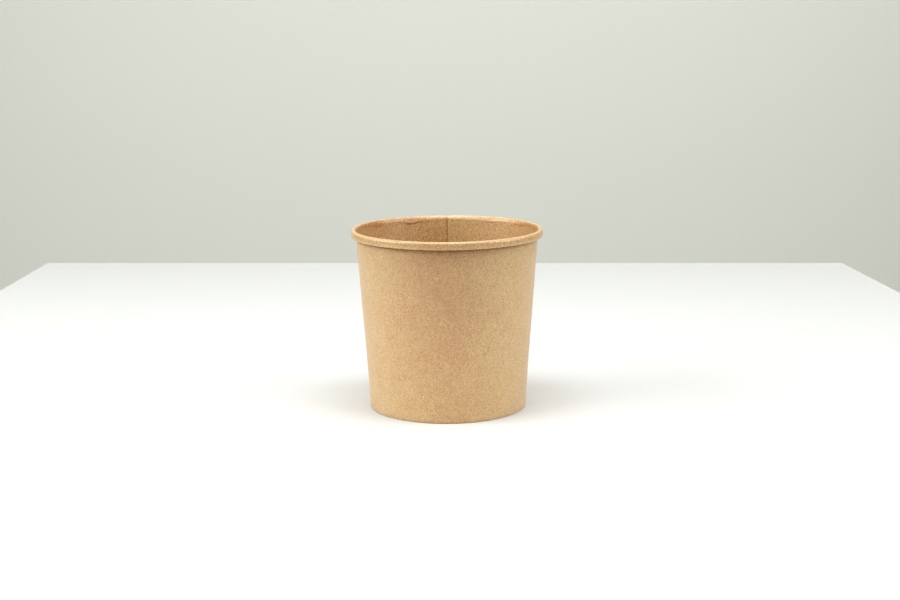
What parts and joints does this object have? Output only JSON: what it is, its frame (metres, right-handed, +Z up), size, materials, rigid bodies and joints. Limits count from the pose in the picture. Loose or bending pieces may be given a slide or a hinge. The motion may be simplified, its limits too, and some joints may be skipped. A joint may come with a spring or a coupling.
{
  "type": "kraft paper soup container",
  "caption": "Round tapered kraft paper tub with an open mouth, a rolled rim, a lapped side seam and a recessed floor.",
  "frame": {"origin": "centre of the ring that the container stands on, on its underside plane", "axes": "+Z up through the mouth; the lapped side seam is at the back, towards +Y; the pictured front faces -Y; +X is the viewer's right"},
  "size_m": [0.117, 0.117, 0.1104],
  "materials": {
    "kraft_wall": "matte kraft board outside, thin clear barrier coating inside",
    "kraft_floor": "matte kraft board, thin clear barrier coating on the food side"
  },
  "bodies": {
    "root": {"side_wall": "kraft_wall", "bottom_disc": "kraft_floor"}
  },
  "joints": []
}
